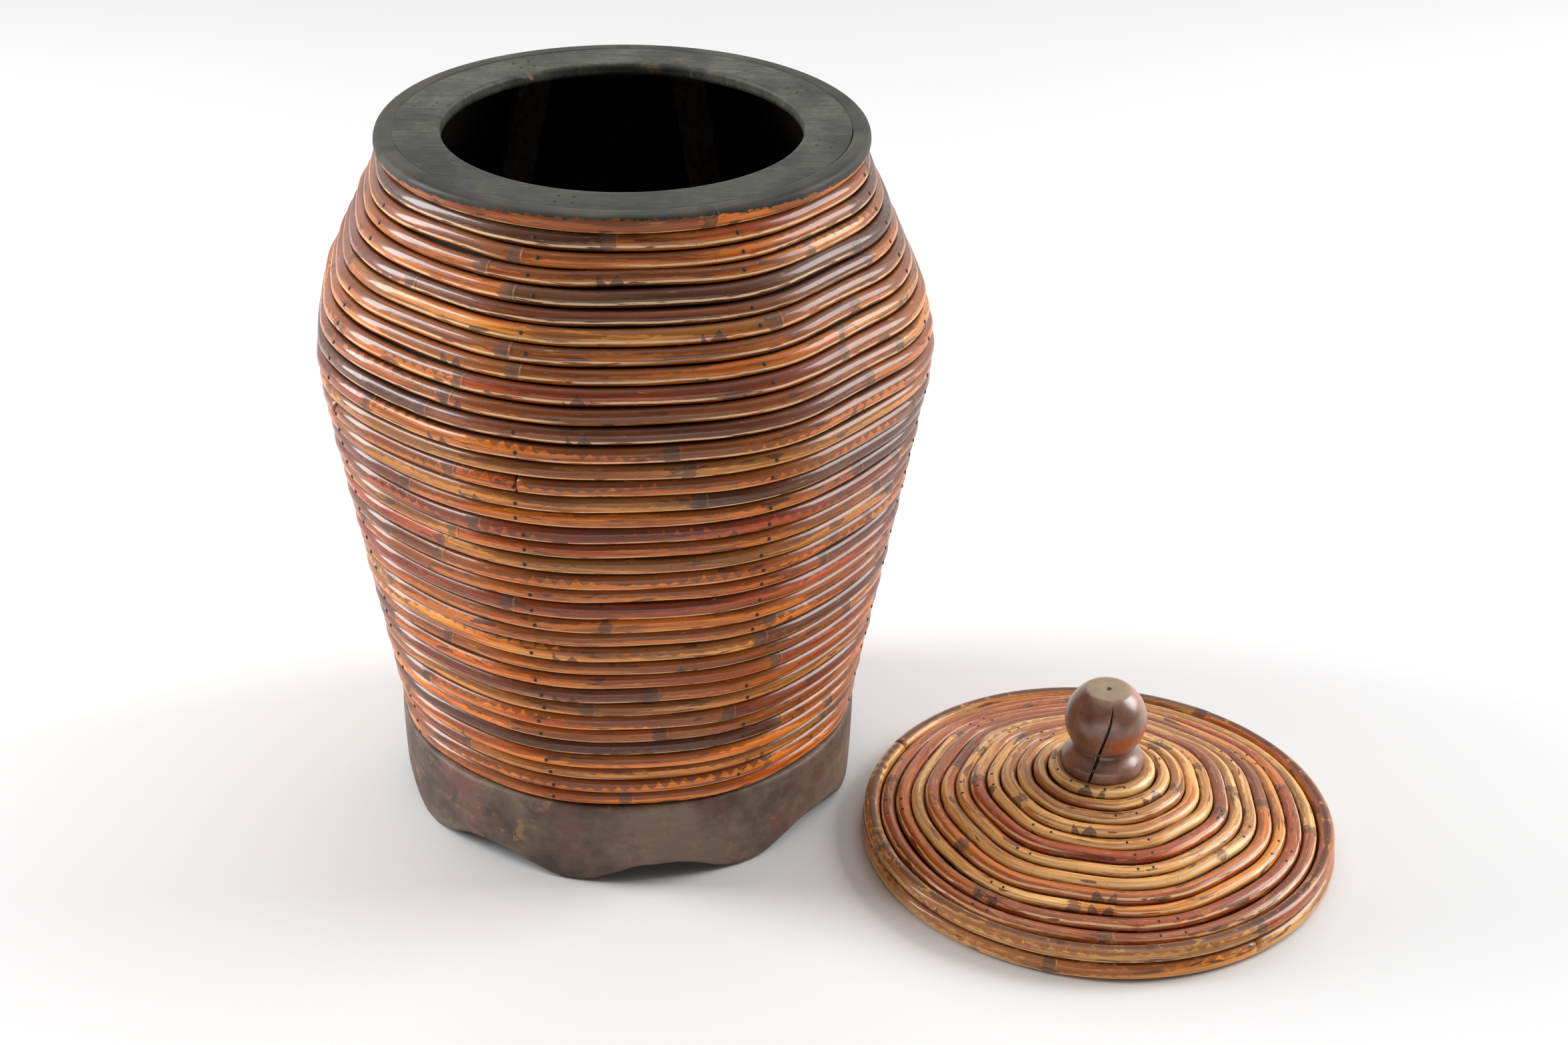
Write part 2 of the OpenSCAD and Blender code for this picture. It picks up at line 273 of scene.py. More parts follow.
def cane_material(name, teeth, bark_reach, bark_lift, bark_tone, scuffed, painted=False):
    """Lacquered rattan: pale wood under dark bark.

    The mesh carries along, in metres; rise, -1 to 1 from the cane's lower to its upper side; tone, its
    colour; peel, 1 where the bark is cut into teeth; and joint, the distance to the nearest node.
    """
    s = Shader(name)
    along, rise = s.attribute("along"), s.attribute("rise")
    tone, peel, joint = s.attribute("tone", "Color"), s.attribute("peel"), s.attribute("joint")

    def at(along_scale, rise_scale, lane):
        return s.vector(s.both(along, along_scale), s.both(rise, rise_scale), lane)

    def noise(along_scale, rise_scale, lane, detail, roughness=0.5):
        return s.noise(at(along_scale, rise_scale, lane), 1.0, detail, roughness)

    # Fine lengthwise fibres, and slower streaks of colour
    fibre = noise(110.0, 16.0, 0.0, 4.0, 0.65)
    streak = noise(22.0, 3.0, 7.0, 3.0, 0.6)
    colour = s.mix(s.step(streak, 0.35, 0.7), s.shade(tone, 1.15), s.shade(tone, 0.68))
    colour = s.vary(colour, fibre, 0.8, 1.2, 0.25, 0.75)
    # Redder lacquer where it has pooled
    pool = noise(9.0, 0.9, 3.0, 2.0)
    colour = s.mix(s.step(pool, 0.48, 0.66), colour, s.mix(1.0, colour, srgb(208, 156, 112), "MULTIPLY"))
    # Bark covers the cane above an edge that wanders, and that is cut into teeth where it was peeled
    drift = s.both(s.centred(noise(5.0, 0.0, 53.0, 2.0)), bark_reach)
    saw = s.centred(s.math("DIVIDE", s.math("PINGPONG", along, teeth), teeth))
    # The teeth come and go along a cane
    bite = s.step(noise(14.0, 0.0, 57.0, 1.0), 0.38, 0.6)
    saw = s.both(saw, s.add(0.08, s.both(s.both(peel, bite), 0.72)))
    ragged = s.both(s.centred(noise(150.0, 2.0, 17.0, 3.0)), 0.7)
    edge = s.add(s.add(drift, bark_lift), s.add(saw, ragged))
    bark = s.step(s.less(rise, edge), -0.07, 0.07)
    depth = s.add(0.78, s.both(peel, 0.14))
    colour = s.mix(s.both(bark, depth), colour, s.mix(0.74, tone, bark_tone))
    # Brown patches with sharp ends, some across the whole face
    patch = noise(15.0, 1.3, 37.0, 3.0, 0.6)
    colour = s.lay(colour, patch, 0.54, 0.56, 0.66, s.mix(0.85, tone, bark_tone))
    # A pale line low on the face of some lengths: partly rubbed wear, partly a painted highlight standing
    # in for the floor's reflection
    run = s.step(noise(4.0, 0.0, 23.0, 1.0), 0.38, 0.46)
    sway = s.both(s.centred(noise(16.0, 0.0, 27.0, 2.0)), 0.5)
    line = s.add(rise, sway)
    line = s.both(s.step(line, -0.72, -0.62), s.step(line, -0.38, -0.48))
    broken = s.step(noise(60.0, 4.0, 47.0, 2.0), 0.36, 0.46)
    colour = s.mix(s.both(s.both(s.both(run, broken), line), 0.85), colour, srgb(236, 196, 146))
    # Burnt triangles in rows along the lower edge of some canes
    gate = s.step(noise(26.0, 0.0, 41.0, 0.0), 0.69, 0.7)
    peak = s.math("DIVIDE", s.math("PINGPONG", along, teeth * 1.3), teeth * 1.3)
    peak = s.less(s.both(peak, 1.3), s.add(1.0, ragged))
    burnt = s.both(gate, s.step(s.less(peak, rise), -0.06, 0.06))
    # Dark stains with sharp ends
    stain = noise(42.0, 1.1, 11.0, 2.0, 0.5)
    burnt = s.math("MAXIMUM", burnt, s.step(stain, 0.64, 0.655))
    colour = s.mix(s.both(burnt, 0.78), colour, srgb(78, 44, 32))
    # Node scars: a ragged grey-brown patch beside a thin pale ring
    length = noise(30.0, 1.6, 31.0, 2.0)
    reach = s.less(s.both(length, 0.013), 0.0032)
    scar = s.step(s.less(s.math("ABSOLUTE", joint), reach), 0.0005, -0.0003)
    colour = s.mix(s.both(scar, 0.68), colour, srgb(84, 62, 50))
    ring = s.step(s.math("ABSOLUTE", s.less(joint, 0.0042)), 0.0009, 0.0004)
    colour = s.mix(s.both(ring, 0.16), colour, srgb(190, 140, 90))
    # Pinholes
    hole = s.node("TexVoronoi", {"Vector": at(150.0, 1.0, 5.0), "Scale": 1.0}, feature="F1")
    hole = s.step(hole, 0.07, 0.04)
    colour = s.mix(s.both(hole, 0.8), colour, DIRT_AND_SHADE)
    # Painted shade where neighbouring canes meet, darkening the grooves between them
    painted_crease_shade = s.step(s.math("ABSOLUTE", rise), 0.82, 1.0)
    colour = s.mix(s.both(painted_crease_shade, 0.78), colour, DIRT_AND_SHADE)
    # Scuffs down to paler wood
    scuff = noise(75.0, 3.0, 71.0, 4.0, 0.7)
    scuff = s.both(s.step(scuff, scuffed, scuffed + 0.07), 0.5)
    colour = s.mix(scuff, colour, s.mix(0.5, tone, srgb(226, 176, 112)))
    height = s.add(s.both(fibre, 0.5), s.both(streak, 0.4))
    height = s.add(height, s.both(bark, 0.5))
    height = s.less(height, s.add(s.both(ring, 1.5), s.both(hole, 1.5)))
    rough = s.add(0.3, s.both(s.step(streak, 0.3, 0.8), 0.16))
    rough = s.add(rough, s.both(s.math("MAXIMUM", scar, painted_crease_shade), 0.25))
    if painted:
        # Black paint from the rim board runs over the top of this cane and ends in a ragged edge
        cover = s.add(s.attribute("paint"), s.both(ragged, 0.9))
        cover = s.add(cover, s.both(s.centred(noise(260.0, 6.0, 61.0, 3.0)), 1.1))
        cover = s.step(cover, 0.44, 0.56)
        cloud = s.noise(s.place(), 30.0, 3.0)
        black = s.mix(s.step(cloud, 0.3, 0.7), srgb(34, 33, 28), srgb(60, 58, 50))
        colour = s.mix(cover, colour, black)
        rough = s.add(rough, s.both(cover, 0.2))
    s.bump(height, 0.00024, 0.7)
    shine = {"Specular_IOR_Level": 0.24, "Coat_Weight": 0.05 if painted else 0.42, "Coat_Roughness": 0.1}
    return s.finish(Base_Color=colour, Roughness=rough, **shine)


def black_board_material():
    """Black paint on a planed ring board: cloudy, scratched, and worn to brown wood at its edges."""
    s = Shader("black_board")
    cloud = s.noise(s.place(), 28.0, 4.0, 0.6)
    colour = s.mix(s.step(cloud, 0.34, 0.64), srgb(32, 34, 29), srgb(64, 65, 57))
    planed = s.noise(s.stretched((26.0, 620.0, 60.0)), 1.0, 3.0, 0.6, 0.5)
    colour = s.lay(colour, planed, 0.5, 0.66, 0.5, srgb(24, 25, 21))
    mottle = s.noise(s.place(), 210.0, 4.0, 0.7)
    colour = s.vary(colour, mottle, 0.72, 1.28, 0.3, 0.7)
    hair = s.noise(s.stretched((60.0, 1100.0, 60.0)), 1.0, 3.0, 0.6, 0.9)
    colour = s.lay(colour, hair, 0.62, 0.72, 0.55, srgb(118, 117, 104))
    rust = s.noise(s.place(), 55.0, 3.0, 0.7)
    colour = s.lay(colour, rust, 0.58, 0.72, 0.5, srgb(96, 82, 64))
    dust = s.noise(s.place(), 900.0, 2.0, 0.6)
    colour = s.vary(colour, dust, 0.82, 1.18)
    pits = s.node("TexVoronoi", {"Vector": s.place(), "Scale": 170.0}, feature="F1")
    pit = s.both(s.step(pits, 0.19, 0.12), s.step(s.noise(s.place(), 24.0), 0.48, 0.56))
    colour = s.mix(s.both(pit, 0.9), colour, srgb(16, 14, 12))
    # Painted reflection: darker at the front and lighter at the back, standing in for the bright back wall
    # seen in the board
    behind = s.node("SeparateXYZ", {0: s.place()}, 1)
    colour = s.vary(colour, behind, 0.52, 1.16, -RIM_R, RIM_R * 0.3)
    worn = s.attribute("worn")
    edge = s.step(s.add(worn, s.both(s.centred(rust), 1.1)), 0.46, 0.6)
    colour = s.mix(edge, colour, srgb(142, 98, 60))
    s.bump(s.add(s.both(planed, 0.6), s.both(dust, 0.3)), 0.0003, 0.5)
    rough = s.add(0.4, s.both(planed, 0.34))
    return s.finish(Base_Color=colour, Roughness=rough, Specular_IOR_Level=0.36)


def skirt_material():
    """Matt dark lacquer on the foot band, mottled with purple-red and ochre."""
    s = Shader("dark_skirt")
    cloud = s.noise(s.place(), 22.0, 5.0, 0.62)
    colour = s.mix(s.step(cloud, 0.34, 0.64), srgb(60, 46, 38), srgb(116, 95, 78))
    plum = s.noise(s.place(), 34.0, 4.0, 0.7)
    colour = s.lay(colour, plum, 0.5, 0.62, 0.65, srgb(108, 62, 56))
    ochre = s.noise(s.place(), 60.0, 4.0, 0.75, 0.3)
    colour = s.lay(colour, ochre, 0.57, 0.68, 0.6, srgb(142, 112, 72))
    wipe = s.noise(s.stretched((16.0, 16.0, 90.0)), 1.0, 4.0, 0.7, 0.8)
    colour = s.lay(colour, wipe, 0.58, 0.7, 0.45, srgb(118, 98, 78))
    streaks = s.noise(s.stretched((40.0, 40.0, 320.0)), 1.0, 3.0, 0.6)
    colour = s.vary(colour, streaks, 0.8, 1.2)
    speck = s.noise(s.place(), 700.0, 3.0, 0.7)
    colour = s.lay(colour, speck, 0.6, 0.74, 0.45, srgb(40, 32, 30))
    edge = s.step(s.attribute("worn"), 0.5, 0.9)
    colour = s.mix(s.both(edge, 0.4), colour, srgb(122, 98, 76))
    s.bump(s.add(s.both(speck, 0.4), s.both(cloud, 0.6)), 0.0006, 0.5)
    return s.finish(Base_Color=colour, Roughness=s.add(0.5, s.both(cloud, 0.2)))


def knob_material():
    """Dark lacquer rubbed through to red on the knob's cheeks, and bare tan wood on its flat top."""
    s = Shader("dark_knob")
    cloud = s.noise(s.place(), 60.0, 4.0, 0.6)
    colour = s.mix(s.step(cloud, 0.32, 0.7), srgb(112, 76, 60), srgb(164, 116, 92))
    # Red on the cheeks: rubbed wear, with a painted highlight where it is strongest at the right
    rubbed = s.add(s.attribute("rubbed"), s.both(s.centred(cloud), 0.7))
    colour = s.lay(colour, rubbed, 0.2, 1.1, 0.8, srgb(168, 84, 50))
    speck = s.noise(s.place(), 900.0, 2.0, 0.7)
    colour = s.lay(colour, speck, 0.58, 0.75, 0.3, srgb(38, 26, 24))
    uneven = s.both(s.centred(cloud), 0.5)
    bare = s.step(s.add(s.attribute("bare"), uneven), 0.4, 0.6)
    colour = s.mix(bare, colour, s.mix(s.step(cloud, 0.3, 0.7), srgb(128, 108, 84), srgb(150, 126, 96)))
    # Painted shade from deep: in the crack, the pinhole, the crease and on the knob's left side
    colour = s.mix(s.attribute("deep"), colour, srgb(26, 14, 10))
    s.bump(s.add(s.both(speck, 0.3), s.both(cloud, 0.5)), 0.0004, 0.4)
    rough = s.add(s.add(0.26, s.both(bare, 0.3)), s.both(cloud, 0.16))
    return s.finish(Base_Color=colour, Roughness=rough, Coat_Weight=0.5, Coat_Roughness=0.25)


def wood_material(name, dark, light, grain_axis):
    """Rough split or sawn wood, with its grain along one axis and darker where it has aged."""
    s = Shader(name)
    fine, coarse = 260.0, 14.0
    scale = tuple(coarse if axis == grain_axis else fine for axis in "XYZ")
    grain = s.noise(s.stretched(scale), 1.0, 4.0, 0.6, 0.4)
    cloud = s.noise(s.place(), 30.0, 3.0)
    colour = s.mix(s.step(grain, 0.3, 0.72), dark, light)
    colour = s.lay(colour, cloud, 0.45, 0.75, 0.6, s.shade(colour, 0.5))
    s.bump(grain, 0.0005, 0.6)
    return s.finish(Base_Color=colour, Roughness=s.add(0.6, s.both(cloud, 0.2)))


def nail_material():
    """Dark iron with rust."""
    s = Shader("nail")
    rust = s.noise(s.place(), 1400.0, 2.0)
    colour = s.mix(s.step(rust, 0.4, 0.65), srgb(34, 28, 26), srgb(70, 48, 36))
    return s.finish(Base_Color=colour, Roughness=s.add(0.45, s.both(rust, 0.3)), Metallic=0.3)


def floor_material():
    """Pale matt floor, barely clouded."""
    s = Shader("floor")
    cloud = s.noise(s.place(), 3.0, 2.0)
    return s.finish(Base_Color=s.mix(cloud, (0.63, 0.63, 0.636), (0.655, 0.655, 0.655)), Roughness=0.7)


BARK = srgb(74, 36, 23)
MATERIALS = {
    "jar_cane": cane_material("jar_cane", teeth=0.0036, bark_reach=5.5, bark_lift=0.15, bark_tone=BARK,
                              scuffed=0.62),
    "lid_cane": cane_material("lid_cane", teeth=0.0038, bark_reach=6.0, bark_lift=0.5,
                              bark_tone=srgb(128, 66, 40), scuffed=0.55),
    "rim_cane": cane_material("rim_cane", teeth=0.0034, bark_reach=6.0, bark_lift=1.2, bark_tone=BARK,
                              scuffed=0.6, painted=True),
    "black_board": black_board_material(),
    "dark_skirt": skirt_material(),
    "dark_knob": knob_material(),
    "lining": wood_material("lining", srgb(22, 17, 14), srgb(38, 29, 23), "Z"),
    "lath": wood_material("lath", srgb(76, 62, 52), srgb(124, 102, 80), "Z"),
    "plain_wood": wood_material("plain_wood", srgb(44, 32, 25), srgb(68, 50, 38), "X"),
    "nail": nail_material(),
}


# -------------------- meshes

def add_mesh(name, points, faces, slot, body, replaces=(), **attributes):
    """A smooth mesh piece that rides on a body. Each attribute is one number or RGB colour per point."""
    mesh = bpy.data.meshes.new(name)
    mesh.from_pydata([tuple(p) for p in points], [], faces)
    mesh.materials.append(MATERIALS[slot])
    mesh.shade_smooth()
    for key, values in attributes.items():
        values = np.asarray(values, np.float32)
        if values.ndim == 2:
            layer = mesh.attributes.new(key, "FLOAT_COLOR", "POINT")
            rgba = np.concatenate([values, np.ones((len(values), 1), np.float32)], 1)
            layer.data.foreach_set("color", rgba.ravel())
        else:
            mesh.attributes.new(key, "FLOAT", "POINT").data.foreach_set("value", values)
    piece = bpy.data.objects.new(name, mesh)
    bpy.context.scene.collection.objects.link(piece)
    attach(piece, body)
    if replaces:
        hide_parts(*replaces)


def grid_faces(rows, columns, close_rows=False, close_columns=True):
    """Quads of a grid of points stored row by row."""
    faces = []
    for i in range(rows if close_rows else rows - 1):
        for j in range(columns if close_columns else columns - 1):
            a, b = i * columns + j, i * columns + (j + 1) % columns
            c, d = (i + 1) % rows * columns + (j + 1) % columns, (i + 1) % rows * columns + j
            faces.append((a, b, c, d))
    return faces


# -------------------- wound canes

def soft_polygon(angle, corners, turn, softness):
    """Radius of a round-cornered polygon, 1 at the middle of its sides; its first corner is at turn."""
    half = math.pi / corners
    corner = (1 - softness) / math.cos(half)
    off = np.abs((angle - turn + half) % (2 * half) - half)
    limit = math.atan2(softness * math.sin(half), corner + softness * math.cos(half))
    inside = np.clip(softness ** 2 - (corner * np.sin(off)) ** 2, 0, None)
    return np.where(off < limit, corner * np.cos(off) + np.sqrt(inside), 1 / np.cos(half - off))


# Where each length of cane starts, behind the jar and the lid
SEAM = RIB_TURN + TURN / 4
# Share of a turn in which the cane steps up to the next course
STEP_SHARE = 0.24
# How much of the slack between canes slides together into single gaps
GATHERED = 0.5
# How far a cane strays between corners, in courses, and how much its thickness varies
STRAY, UNEVEN = 0.03, 0.03


class Winding:
    """A stack of courses that one spiral of cane follows. Turn t starts at the seam, in course t.

    The courses are polygons whose corners show as much as strengths says. slack is the share of a
    course left open, loose says how unevenly it falls in each course, and gaps adds to that by face.
    """

    def __init__(self, rings, centre, corners, turn, strengths, softness, inside, slack, loose, seed,
                 gaps=0):
        self.rings, self.centre, self.corners, self.turn = rings, centre, corners, turn
        self.strengths, self.softness, self.slack = strengths, softness, slack
        self.count = len(rings)
        whole = soft_polygon(np.linspace(0, TURN, 721), corners, turn, softness)
        # The courses either lie inside their CAD rings, touching them at the corners, or straddle them
        self.size = whole.max() if inside else whole.mean()
        rng = np.random.default_rng(seed)
        # Between corners the canes are free, so gaps open there in some courses and not in others
        share = rng.random((self.count, corners)) ** 5 * np.asarray(loose)[:, None] + gaps
        share /= share.sum(0)
        even = (np.arange(self.count) + 0.5)[:, None] / self.count
        self.shift = (np.cumsum(share, 0) - share / 2 - even) * self.count * slack * GATHERED
        self.phase = rng.random((self.count + 2, 4)) * TURN

    def path(self, start, end, spacing):
        """Points, outward normals, directions, radii and turns of the cane between two turns."""
        mean = self.rings[:, 0].mean()
        steps = max(8, int((end - start) * TURN * mean / spacing))
        t = np.linspace(start, end, steps)
        angle = SEAM + t * TURN
        face = ((angle - self.turn) / TURN * self.corners) % self.corners
        bulge = np.sin(face % 1 * math.pi) ** 2
        course = np.clip((t + 1e-9).astype(int), 0, self.count - 1)
        # Each course lies level, and steps up to the next one near the seam
        nearest = np.round(t)
        level = nearest - 0.5 + np.clip((t - nearest) / STEP_SHARE, -0.5, 0.5)
        shifted = level + bulge * self.shift[course, face.astype(int) % self.corners]
        wobble = sum(np.sin(angle * (2.3 + k) + self.phase[course, k]) for k in range(3)) * bulge * STRAY
        index = np.arange(self.count)
        u = np.clip(shifted + wobble, 0, self.count - 1)
        base_r, base_z, width = (np.interp(u, index, self.rings[:, k]) for k in range(3))
        slope_r = np.interp(u, index, np.gradient(self.rings[:, 0]))
        slope_z = np.interp(u, index, np.gradient(self.rings[:, 1]))
        shape = soft_polygon(angle, self.corners, self.turn, self.softness) / self.size
        radius = base_r * (1 + np.interp(u, index, self.strengths) * (shape - 1))
        around = polar(1, angle, 0)
        points = around * radius[:, None]
        points[:, 2] = base_z
        points += np.array(self.centre)
        up = np.array([0.0, 0.0, 1.0])
        out = around * slope_z[:, None] - up * slope_r[:, None]
        ahead = np.gradient(points, axis=0)
        ahead /= np.linalg.norm(ahead, axis=1)[:, None]
        out -= ahead * (out * ahead).sum(1)[:, None]
        out /= np.linalg.norm(out, axis=1)[:, None]
        thick = 1 - self.slack + UNEVEN * np.sin(angle * 1.7 + self.phase[course, 3])
        return points, out, ahead, width / 2 * thick, t

    def spot(self, turn):
        """A point on the cane's face at one turn, with the outward normal."""
        reach = 0.002
        points, out, _, radius, _ = self.path(turn - reach, turn + reach, spacing=1.0)
        k = len(points) // 2
        return points[k] + out[k] * radius[k], out[k]


TONES = {
    "o": srgb(214, 117, 34), "t": srgb(217, 138, 56), "h": srgb(216, 158, 88), "y": srgb(232, 182, 106),
    "r": srgb(170, 78, 32), "p": srgb(150, 84, 46), "d": srgb(112, 68, 42), "b": srgb(190, 106, 40),
}


# The shortest and longest distance between two nodes of the rattan
INTERNODE = (0.17, 0.3)
# How far the chosen tones reach on each side of the front, and how often other canes have teeth
FRONT_HALF = math.radians(62)
TOOTHED = 0.3


class Stock:
    """The rattan itself: internodes of uneven length, each with its own tone.

    usual holds the letters of the tones to draw from, and front each course's at the front. fade
    gives turns and the factors on the tone there.
    """

    def __init__(self, seed, usual, front=None, fade=((0, 1), (1.0, 1.0))):
        self.rng = np.random.default_rng(seed)
        self.usual, self.front, self.fade = usual, front, fade
        self.used = 0.0

    def marks(self, lengths, turns, angles):
        """Along, tone, peel and joint, as cane_material wants them, for the points of one stretch."""
        along = self.used + lengths
        joints = [along[0] - self.rng.uniform(0.02, 0.2)]
        while joints[-1] < along[-1]:
            joints.append(joints[-1] + self.rng.uniform(*INTERNODE))
        joints = np.array(joints)
        cell = np.clip(np.searchsorted(joints, along) - 1, 0, len(joints) - 2)
        tone, peel = np.zeros((len(along), 3)), np.zeros(len(along))
        for k in np.unique(cell):
            here = cell == k
            centre = np.flatnonzero(here)[here.sum() // 2]
            letter = self.pick(turns[centre], angles[centre])
            shade = self.rng.uniform(0.86, 1.18) * np.interp(turns[centre], *self.fade)
            tone[here] = np.array(TONES[letter.lower()]) * shade
            peel[here] = float(letter.isupper())
        nearest = joints[np.abs(along[:, None] - joints[None, :]).argmin(1)]
        # The next stretch is cut from well beyond this one
        self.used = along[-1] + 0.5
        return along, tone, peel, along - nearest

    def pick(self, turn, angle):
        """The tone's letter for an internode; a capital has a sawtooth edge."""
        if self.front and abs(from_front(angle)) < FRONT_HALF:
            return self.front[int(np.clip(turn, 0, len(self.front) - 1))]
        letter = self.usual[self.rng.integers(len(self.usual))]
        return letter.upper() if self.rng.random() < TOOTHED else letter


SIDES = 16
# The canes are pressed together, so their section is a little fuller than a circle
BOXY = 2.3


def tube(points, out, ahead, radius, swell):
    """Rings of points round a path, with rounded ends, and the rise of each point."""
    side = np.cross(ahead, out)
    side *= np.where(side[:, 2] < 0, -1.0, 1.0)[:, None]
    turn = np.arange(SIDES) * TURN / SIDES
    squash = (np.abs(np.cos(turn)) ** BOXY + np.abs(np.sin(turn)) ** BOXY) ** (-1 / BOXY)
    rows, rises, order = [], [], []
    last = len(points) - 1
    # Each ring's point, its share of the radius, and how many radii beyond the point it lies
    rings = [(0, 0.35, -0.3), (0, 0.8, -0.12)] + [(i, 1.0, 0.0) for i in range(last + 1)]
    rings += [(last, 0.8, 0.12), (last, 0.35, 0.3)]
    for i, share, beyond in rings:
        centre = points[i] + ahead[i] * radius[i] * beyond
        size = radius[i] * share * swell[i] * squash[:, None]
        rows.append(centre + size * (np.cos(turn)[:, None] * out[i] + np.sin(turn)[:, None] * side[i]))
        rises.append(np.sin(turn))
        order.append(i)
    faces = grid_faces(len(rows), SIDES)
    faces.append(tuple(range(SIDES))[::-1])
    faces.append(tuple((len(rows) - 1) * SIDES + j for j in range(SIDES)))
    return np.concatenate(rows), faces, np.concatenate(rises), np.repeat(order, SIDES)


# How far apart the rings of a tube are, and how far the swelling at a node reaches
SPACING = 4.5 * MM
NODE_REACH = 4 * MM


class Cane:
    """Gathers one or more stretches of round cane into one piece."""

    def __init__(self, swelling):
        self.swelling, self.count = swelling, 0
        self.points, self.faces, self.marks = [], [], []

    def add(self, points, out, ahead, radius, marks):
        along, tone, peel, joint = marks
        swell = 1 + self.swelling * hump(joint, NODE_REACH)
        verts, faces, rise, order = tube(points, out, ahead, radius, swell)
        self.points.append(verts)
        self.faces += [tuple(v + self.count for v in face) for face in faces]
        self.marks.append((along[order], rise, tone[order], peel[order], joint[order]))
        self.count += len(verts)

    def finish(self, name, slot, body, node):
        along, rise, tone, peel, joint = (np.concatenate(column) for column in zip(*self.marks))
        add_mesh(name, np.concatenate(self.points), self.faces, slot, body, (node,),
                 along=along, rise=rise, tone=tone, peel=peel, joint=joint)


def wind_cane(node, winding, stretches, stock, slot, body):
    """One length of cane in place of a CAD node, in stretches with butt joints between."""
    cane = Cane(swelling=0.045)
    for start, end in stretches:
        points, out, ahead, radius, t = winding.path(start, end, SPACING)
        lengths = np.concatenate([[0], np.cumsum(np.linalg.norm(np.diff(points, axis=0), axis=1))])
        cane.add(points, out, ahead, radius, stock.marks(lengths, t, SEAM + t * TURN))
    cane.finish(node + "_wound", slot, body, node)


# Tone of each course at the front, from the lowest up; a capital letter has a sawtooth edge
JAR_FRONT = "oOtoDoOtpooTboroOtoRotOtOpbrobtpdbob"
jar_height = jar_rings[:, 1]
jar_strength = np.interp(jar_height, [0.05, 0.12, 0.2, 0.34, 0.39], [0.3, 0.55, 0.75, 0.8, 0.45])
jar_loose = np.interp(jar_height, [0.05, 0.22, 0.3, 0.37, 0.39], [0.3, 0.5, 3.0, 2.8, 0.3])
# The canes stand clearly apart near the top of the two side faces
side_faces = np.abs(np.cos(RIB_TURN + (np.arange(RIBS) + 0.5) * TURN / RIBS)) > 0.85
side_gaps = 5 * hump(jar_height - 0.366, 0.008)[:, None] * side_faces[None, :]
jar_winding = Winding(jar_rings, JAR_AXIS, RIBS, RIB_TURN, jar_strength, softness=0.56, inside=False,
                      slack=0.035, loose=jar_loose, seed=11, gaps=side_gaps)
# Painted light: the tones fade darker from the foot up to the shoulder, standing in for the front light
# falling mostly on the lower body
jar_stock = Stock(3, "ooottrrppdbb", JAR_FRONT, ((0, 14, 36), (1.08, 0.94, 0.7)))
# Courses in each length of cane
TURNS = 3
# Two butt joints show on the front, a rib apart, in the course nearest this height
PATCH_HEIGHT = 0.270
patch_course = int(np.abs(jar_height - PATCH_HEIGHT).argmin())
patch = [patch_course + 3 / RIBS, patch_course + 4 / RIBS]
starts = [TURNS * n for n in range(len(JAR_CANES) + 1)]
# Open share of a turn at each end of a stretch
END_GAP = 0.0009
for n, node in enumerate(JAR_CANES):
    cuts = [starts[n]] + [t for t in patch if starts[n] < t < starts[n + 1]] + [starts[n + 1]]
    stretches = [(a + END_GAP, b - END_GAP) for a, b in zip(cuts, cuts[1:])]
    wind_cane(node, jar_winding, stretches, jar_stock, "jar_cane", "jar")

lid_steps = np.linspace(0, 1, len(lid_rings))
lid_strength = np.interp(lid_steps, [0, 0.1, 0.2, 0.5, 0.8, 1], [0.1, 0.35, 0.6, 0.7, 0.4, 0.0])
lid_loose = np.interp(lid_steps, [0, 0.05, 0.1, 0.25, 0.4, 1], [0.1, 0.2, 5.0, 4.0, 1.0, 0.5])
# The outer courses ride up where they lean on the edge canes, and the inner ones close on the knob
lid_rings[:, 1] += 2.2 * MM * (1 - lid_steps)
lid_rings[:, 0] -= 2.4 * MM * lid_steps ** 3
lid_winding = Winding(lid_rings, LID_AXIS, SPOKES, SPOKE_TURN, lid_strength, softness=0.6, inside=True,
                      slack=0.012, loose=lid_loose, seed=5)
LID_FRONT = "pRBbhhrhhhhy"
lid_stock = Stock(19, "hhhhhyybbtrp", LID_FRONT)
for n, node in enumerate(LID_CANES):
    span = (TURNS * n + END_GAP, TURNS * (n + 1) - END_GAP)
    wind_cane(node, lid_winding, [span], lid_stock, "lid_cane", "lid")


# -------------------- hoops round the rim and the lid's edge

def hoop_path(ring, centre, start, gap, wobble):
    """A cane bent into one round hoop that starts at an angle and ends a gap short of it."""
    radius, height, width = ring
    steps = int(TURN * radius / SPACING)
    angle = np.linspace(start, start + TURN - gap / radius, steps)
    around = polar(1, angle, 0)
    share = (angle - start) / (angle[-1] - start)
    sway = wobble * np.sin(angle * 3 + 1.0) * np.sin(share * math.pi)
    points = around * (radius + sway)[:, None] + np.array(centre) + np.array([0, 0, height])
    ahead = np.stack([-np.sin(angle), np.cos(angle), np.zeros(steps)], 1)
    return points, around, ahead, np.full(steps, width / 2), angle


# Where the ends of the lower and of the upper cane round the lid's edge meet
EDGE_JOINTS = math.radians(-55), math.radians(150)


def edge_hoops():
    """The two canes stacked round the lid's edge."""
    stock = Stock(8, "htbhh")
    cane = Cane(swelling=0.03)
    for ring, start in zip(edge_rings, EDGE_JOINTS):
        points, out, ahead, radius, angle = hoop_path(ring, LID_AXIS, start, gap=1.2 * MM, wobble=0.4 * MM)
        cane.add(points, out, ahead, radius, stock.marks((angle - start) * ring[0], angle * 0, angle))
    cane.finish("lid_edge_hoops", "lid_cane", "lid", "lid_edge_canes")


edge_hoops()


def front_share(angle, half_width):
    """1 at the front, falling smoothly to 0 at half_width either side."""
    return np.cos(unit(np.abs(from_front(angle)) / half_width) * math.pi / 2) ** 2


